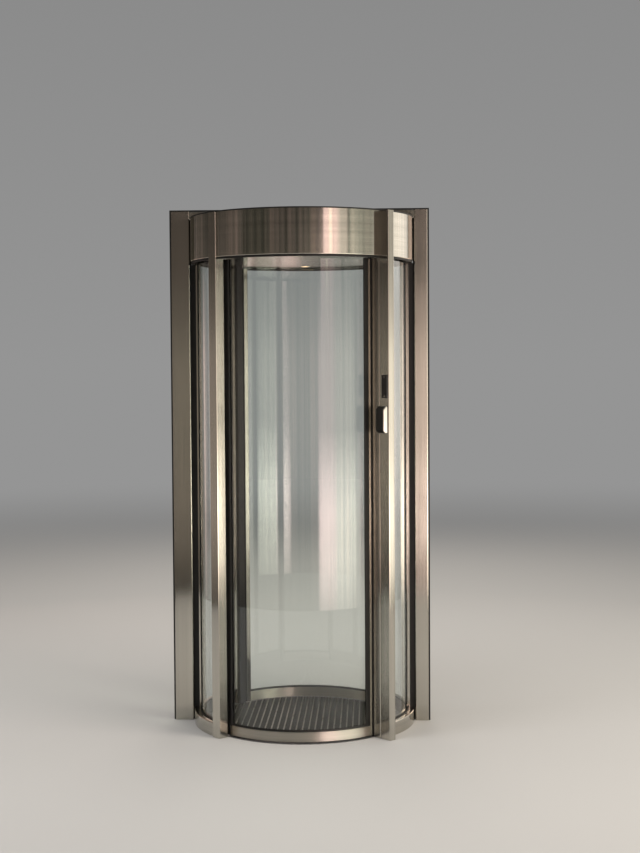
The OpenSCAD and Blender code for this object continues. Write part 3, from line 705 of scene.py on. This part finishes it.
class PORTAL_OT_devices(bpy.types.Operator):
    """Card reader and entry box on the doorway side of the front deep post"""

    bl_idname = "portal.devices"
    bl_label = "Access devices"

    def execute(self, context):
        plastic = moulded_abs()
        bright = bpy.data.materials["mop-polished stainless"]

        # Card reader: a flat case with a bevelled rim, a sunk face and two socket screws. Its sizes
        # are in millimetres.
        bm = bmesh.new()
        width, tall, from_edge = 33, 100, 4
        middle = POST_OUTSIDE - (from_edge + width / 2) * MM
        rings = []
        for inset, out in ((0, 0), (0, 6.6), (0.5, 7.5), (1.4, 8), (3, 8), (3.5, 7.3)):
            w, h, r = (width / 2 - inset) * MM, (tall / 2 - inset) * MM, (3 - inset * 0.5) * MM
            outline = rounded([(-w, -h), (w, -h), (w, h), (-w, h)], r)
            rings.append([spot(DOORWAY_RIGHT, middle + x, -out * MM, READER_MIDDLE + z)
                          for x, z in outline])
        loft(bm, rings)
        piece_of(bm, "card_reader_case", [plastic], PORTAL, "card_reader", 25)

        bm = bmesh.new()
        screws = 41.5 * MM
        for end in (-1, 1):
            rings = []
            for radius, out, sides in ((2.7, 7.2, 24), (2.7, 7.5, 24), (2.2, 8, 24), (1.3, 8, 6),
                                       (1.3, 7.4, 6)):
                ring = []
                for k in range(24):
                    a = math.tau * k / 24
                    wedge = math.tau / sides
                    r = radius * math.cos(wedge / 2) / math.cos(a % wedge - wedge / 2)
                    ring.append(spot(DOORWAY_RIGHT, middle + r * MM * math.cos(a), -out * MM,
                                     READER_MIDDLE + end * screws + r * MM * math.sin(a)))
                rings.append(ring)
            loft(bm, rings)
        piece_of(bm, "card_reader_screws", [bright], PORTAL, None, 25)

        # Entry box: sloping ends and soft edges. Its corners, across and up, are in millimetres.
        bm = bmesh.new()
        inner, outer = POST_OUTSIDE - 49 * MM, POST_OUTSIDE - 6.3 * MM
        corners = [(0, -58), (0, 58), (-18, 58), (-30, 46), (-30, -46), (-18, -58)]
        rings = []
        for inset, at in ((1.5, inner), (0.5, inner + 0.5 * MM), (0, inner + 1.5 * MM),
                          (0, outer - 1.5 * MM), (0.5, outer - 0.5 * MM), (1.5, outer)):
            shrunk = [(min(t + inset, 0) if t < 0 else 0, z - inset * math.copysign(1, z))
                      for t, z in corners]
            outline = rounded([(t * MM, z * MM) for t, z in shrunk], [0, 0] + [3 * MM] * 4)
            rings.append([spot(DOORWAY_RIGHT, at, t, ENTRY_BOX_MIDDLE + z) for t, z in outline])
        loft(bm, rings)
        piece_of(bm, "entry_box_case", [plastic], PORTAL, "entry_box", 25)

        # Bright cover on its outer side, crowned, with its free corners cut back
        bm = bmesh.new()
        corners = [(-7, -58), (-7, 58), (-20, 58), (-29, 47), (-29, -47), (-20, -58)]
        rings = []
        for inset, out in ((0, 0), (0, 3.2), (0.6, 4.6), (1.8, 5.5), (4, 6)):
            shrunk = [(t + (inset if t < -10 else -inset), z - inset * math.copysign(1, z))
                      for t, z in corners]
            outline = rounded([(t * MM, z * MM) for t, z in shrunk], [3 * MM, 3 * MM] + [6 * MM] * 4)
            rings.append([spot(DOORWAY_RIGHT, outer + out * MM, t, ENTRY_BOX_MIDDLE + z)
                          for t, z in outline])
        loft(bm, rings)
        piece_of(bm, "entry_box_bright_edge", [bright], PORTAL, "entry_box_cover",
                 25)
        return {"FINISHED"}


# Stage


def lamp(name, azimuth, distance, height, side, power, colour):
    """A square soft box, with its power per square metre, that faces the middle of the portal."""
    a = math.radians(azimuth)
    middle = Vector((0, 0, 1.2))
    data = bpy.data.lights.new(name, "AREA")
    data.shape = "RECTANGLE"
    data.size = side
    data.size_y = side
    data.energy = power * side * side
    data.color = linear(colour)[:3]
    box = bpy.data.objects.new(name, data)
    bpy.context.scene.collection.objects.link(box)
    box.location = (math.sin(a) * distance, -math.cos(a) * distance, height)
    box.rotation_mode = "QUATERNION"
    box.rotation_quaternion = (box.location - middle).to_track_quat("Z", "Y")
    # Reflections see the soft screens instead.
    box.visible_camera = False
    box.visible_transmission = False
    box.visible_glossy = False


# What the steel sees round it, as (azimuth from the front, brightness, colour): soft screens near
# the floor that the rails mirror, screens at the height of a person, and the ones above them that
# the header mirrors
LOW_SCREENS = [
    (-180, 0.40, "#fff0ea"), (-168, 1.10, "#ffe0da"), (-134, 1.10, "#ffe0da"),
    (-118, 0.26, "#fff0ea"), (-84, 0.46, "#fff4ee"),
    (-72, 0.30, "#fff4ea"), (-40, 0.20, "#fff6e8"), (0, 0.30, "#fff4ea"), (18, 0.55, "#ffeee4"),
    (23, 8.80, "#ffe4de"), (38, 8.80, "#ffe8e0"), (40, 7.20, "#fcf6e6"), (62, 6.60, "#fcf6e6"),
    (66, 2.60, "#fff8ea"), (75, 2.40, "#fff8ea"), (100, 2.00, "#fff8ee"), (150, 0.40, "#fff6ec"),
]
MIDDLE_SCREENS = [
    (-180, 0.50, "#fff0ea"), (-168, 1.50, "#ffe0da"), (-134, 1.50, "#ffe0da"),
    (-118, 0.30, "#fff0ea"), (-98, 0.32, "#fff4ee"), (-84, 0.40, "#fff4ee"),
    (-72, 0.34, "#fff4ea"), (-40, 0.22, "#fff6e8"), (-16, 0.26, "#fff8ea"),
    (0, 0.34, "#fff4ea"), (8, 0.70, "#fff0e6"), (18, 0.80, "#ffeee4"),
    (23, 2.80, "#ffe4de"), (37, 2.80, "#ffe8e0"), (40, 2.20, "#fcf6e6"), (60, 2.20, "#fcf6e6"),
    (64, 0.80, "#fff8ea"), (70, 0.90, "#fff8ea"), (75, 1.90, "#fff8ea"), (100, 1.70, "#fff8ee"),
    (130, 1.60, "#fff8ee"), (150, 0.50, "#fff6ec"),
]
UPPER_SCREENS = [
    (-180, 0.14, "#fff6ec"), (-160, 0.11, "#fff6ec"), (-124, 0.12, "#fff2e8"),
    (-100, 0.08, "#fff4ea"), (-80, 0.09, "#fff2e8"), (-66, 0.13, "#ffeee6"), (-58, 0.14, "#fff0e8"),
    (-48, 0.08, "#fcf8e8"), (-32, 0.08, "#fcf8e8"), (-22, 0.13, "#ffeee6"), (-6, 0.13, "#ffeee6"),
    (4, 0.10, "#fff6ec"), (12, 0.11, "#fff6ec"), (23.2, 0.12, "#fff0e8"), (24, 1.80, "#ffe0dc"),
    (28, 1.70, "#ffdcd8"), (30, 2.60, "#fff2de"), (32, 1.60, "#ffdcd8"), (37.5, 1.70, "#ffe6de"),
    (38.5, 0.90, "#fff4e8"), (46, 0.80, "#fff4e8"), (47, 0.22, "#f2f2e4"),
    (48.5, 0.22, "#f2f2e4"), (50, 0.64, "#f8f6e6"), (62, 0.54, "#f8f6e6"), (72, 0.46, "#f8f6e6"),
    (86, 0.55, "#fff8ec"), (98, 1.55, "#fff8ee"), (120, 1.75, "#fff8f0"), (132, 1.2, "#fff8f0"),
    (150, 0.22, "#fff6ec"),
]


def surround():
    """A ring of soft screens round the portal that only reflections see, as in a product studio."""
    mesh = bpy.data.meshes.new("screens")
    ring = bpy.data.objects.new("screens", mesh)
    bpy.context.scene.collection.objects.link(ring)
    bm = bmesh.new()
    radius, low, high = 3.8, -0.02, 6.0
    loft(bm, [[spot(math.radians(a), radius, 0, z) for a in range(0, 360, 3)]
              for z in (low, high)], cap=False)
    bm.to_mesh(mesh)
    bm.free()
    material, tree, bsdf, place = new_material("soft screens")
    material.cycles.emission_sampling = "NONE"
    tree.nodes.remove(bsdf)
    split = add(tree, "ShaderNodeSeparateXYZ", {0: place})
    height = split.outputs[2]
    back = add(tree, "ShaderNodeMath", {0: split.outputs[1], 1: -1.0}, operation="MULTIPLY")
    turn = add(tree, "ShaderNodeMath", {0: split.outputs[0], 1: back}, operation="ARCTAN2")
    share = add(tree, "ShaderNodeMapRange",
                {"Value": turn, "From Min": -math.pi, "From Max": math.pi})
    lower, middle, upper = [
        add(tree, "ShaderNodeValToRGB", {0: share},
            stops=[((a + 180) / 360, [c * level for c in linear(colour)[:3]])
                   for a, level, colour in screens])
        for screens in (LOW_SCREENS, MIDDLE_SCREENS, UPPER_SCREENS)]
    colour = lower
    for screens, start, end in ((middle, 0.6, 1.2), (upper, 1.7, 2.3)):
        rise = add(tree, "ShaderNodeMapRange",
                   {"Value": height, "From Min": start, "From Max": end})
        colour = add(tree, "ShaderNodeMix", {0: rise, 6: colour, 7: screens},
                     data_type="RGBA").outputs[2]
    # Folds in the screens' cloth, about 200 mm apart, show as streaks in the brushed steel. They
    # are deep in the dim screens, and shallow in the bright ones to the right of 20 degrees.
    flat = add(tree, "ShaderNodeVectorMath", {0: place, 1: (1, 1, 0)}, operation="MULTIPLY")
    cloth = add(tree, "ShaderNodeTexNoise",
                {"Vector": flat, "Scale": 1 / (200 * MM), "Detail": 3.0, "Roughness": 0.8})
    folds = add(tree, "ShaderNodeValToRGB", {0: cloth},
                stops=[(0.36, [0.35, 0.38, 0.32]), (0.5, [0.95, 0.95, 0.9]),
                       (0.64, [2.0, 1.75, 1.65])])
    depth = add(tree, "ShaderNodeMapRange",
                {"Value": turn, "From Min": math.radians(14), "From Max": math.radians(20),
                 "To Min": 1.0, "To Max": 0.3})
    streaked = add(tree, "ShaderNodeMix", {0: depth, 6: colour, 7: folds},
                   data_type="RGBA", blend_type="MULTIPLY").outputs[2]
    # How bright they are by height, over their lower 4 m: they fade out towards the floor.
    up = add(tree, "ShaderNodeMapRange", {"Value": height, "From Max": 4.0})
    level = add(tree, "ShaderNodeValToRGB", {0: up},
                stops=[(0.0, [0.25] * 3), (0.08, [0.72] * 3), (0.17, [1.0] * 3),
                       (0.35, [0.95] * 3), (0.5, [0.8] * 3), (0.58, [1.0] * 3),
                       (0.75, [0.8] * 3)])
    glow = add(tree, "ShaderNodeEmission", {"Color": streaked, "Strength": level})
    # A reflection sees the screens through the panes too, and the camera's view passes through.
    path = add(tree, "ShaderNodeLightPath")
    reflected = add(tree, "ShaderNodeMath", {0: path.outputs["Glossy Depth"], 1: 0.5},
                    operation="GREATER_THAN")
    clear = add(tree, "ShaderNodeBsdfTransparent")
    add(tree, "ShaderNodeMixShader", {0: reflected, 1: clear, 2: glow},
        tree.nodes["Material Output"].inputs["Surface"])
    mesh.materials.append(material)
    for ray in ("camera", "diffuse", "volume_scatter", "shadow"):
        setattr(ring, f"visible_{ray}", False)


class PORTAL_OT_stage(bpy.types.Operator):
    """Pale floor, soft studio light and the camera"""

    bl_idname = "portal.stage"
    bl_label = "Stage"

    def execute(self, context):
        scene = context.scene
        stage = scene.portal_stage
        scene.view_settings.view_transform = "Standard"

        mesh = bpy.data.meshes.new("floor")
        floor = bpy.data.objects.new("floor", mesh)
        scene.collection.objects.link(floor)
        bm = bmesh.new()
        # Wide enough for its edge to stay at the horizon
        bmesh.ops.create_circle(bm, cap_ends=True, segments=96, radius=80)
        bm.to_mesh(mesh)
        bm.free()
        # A hair below the portal's feet, so that no faces coincide
        floor.location.z = -0.5 * MM
        material, tree, bsdf, place = new_material(
            "pale floor", Roughness=0.85, Base_Color=linear(stage.floor_colour))
        # The floor fades into the background between 1.5 and 14 m from the portal.
        reach = add(tree, "ShaderNodeVectorMath", {0: place}, operation="LENGTH")
        fade = add(tree, "ShaderNodeMapRange",
                   {"Value": reach.outputs[1], "From Min": 1.5, "From Max": 14.0},
                   interpolation_type="SMOOTHSTEP")
        far = add(tree, "ShaderNodeEmission",
                  {"Color": [stage.far_level] * 3 + [1.0], "Strength": 1.0})
        add(tree, "ShaderNodeMixShader", {0: fade, 1: bsdf, 2: far},
            tree.nodes["Material Output"].inputs["Surface"])
        mesh.materials.append(material)

        world = bpy.data.worlds.new("studio")
        scene.world = world
        world.use_nodes = True
        tree = world.node_tree
        way = add(tree, "ShaderNodeSeparateXYZ",
                  {0: add(tree, "ShaderNodeTexCoord").outputs["Generated"]})
        # The studio darkens overhead.
        level, overhead = stage.far_level, 0.12
        add(tree, "ShaderNodeValToRGB", {0: way.outputs[2]},
            tree.nodes["Background"].inputs["Color"],
            [(0.0, [level] * 3), (0.35, [level * 0.8] * 3), (0.7, [overhead] * 3)])
        surround()

        lamp("key box", 60, 5.5, 4.2, side=3.0, power=24, colour="#fff6ea")
        lamp("fill box", -55, 6.0, 4.0, side=3.0, power=12, colour="#f4f6ff")
        lamp("rear box", 180, 6.0, 4.5, side=3.0, power=14, colour="#fff8f0")
        lamp("top box", 0, 0.8, 6.5, side=5.0, power=12, colour="#ffffff")

        data = bpy.data.cameras.new("camera")
        data.sensor_width = 36
        data.lens = stage.lens
        camera = bpy.data.objects.new("camera", data)
        scene.collection.objects.link(camera)
        scene.camera = camera
        # Its turns in radians, which count to the left, upwards and anticlockwise
        yaw, pitch, roll = 0.0389, -0.0430, -0.0062
        ahead = Vector((-math.sin(yaw) * math.cos(pitch), math.cos(yaw) * math.cos(pitch),
                        math.sin(pitch)))
        right = Vector((math.cos(yaw), math.sin(yaw), 0))
        up = right.cross(ahead)
        across = math.cos(roll) * right + math.sin(roll) * up
        above = -math.sin(roll) * right + math.cos(roll) * up
        turn = Matrix((across, above, -ahead)).transposed().to_4x4()
        eye = Vector((0.3362, -6.6148, 1.6387))
        camera.matrix_world = Matrix.Translation(eye) @ turn
        return {"FINISHED"}


class PORTAL_PT_panel(bpy.types.Panel):
    """Lists the portal's sizes and its steps"""

    bl_idname = "PORTAL_PT_panel"
    bl_label = "Portal"
    bl_space_type = "VIEW_3D"
    bl_region_type = "UI"
    bl_category = "Portal"

    def draw(self, context):
        for name in GROUPS:
            group = getattr(context.scene, name)
            box = self.layout.box()
            for key in group.__annotations__:
                box.prop(group, key)
        for step in STEPS:
            self.layout.operator(step.bl_idname)


GROUPS = {
    "portal_metal": PortalMetal, "portal_glass": PortalGlass, "portal_seals": PortalSeals,
    "portal_mat": PortalMat, "portal_lights": PortalLights, "portal_stage": PortalStage,
}
STEPS = [
    PORTAL_OT_steel, PORTAL_OT_glass, PORTAL_OT_fixed_rubber, PORTAL_OT_door_rubber,
    PORTAL_OT_mat, PORTAL_OT_lights, PORTAL_OT_devices, PORTAL_OT_stage,
]


def register():
    for cls in [*GROUPS.values(), *STEPS, PORTAL_PT_panel]:
        bpy.utils.register_class(cls)
    for name, group in GROUPS.items():
        setattr(bpy.types.Scene, name, PointerProperty(type=group))


def unregister():
    for name in GROUPS:
        delattr(bpy.types.Scene, name)
    for cls in reversed([*GROUPS.values(), *STEPS, PORTAL_PT_panel]):
        bpy.utils.unregister_class(cls)


def main():
    register()
    for step in STEPS:
        group, name = step.bl_idname.split(".")
        getattr(getattr(bpy.ops, group), name)()


if __name__ == "__main__":
    main()
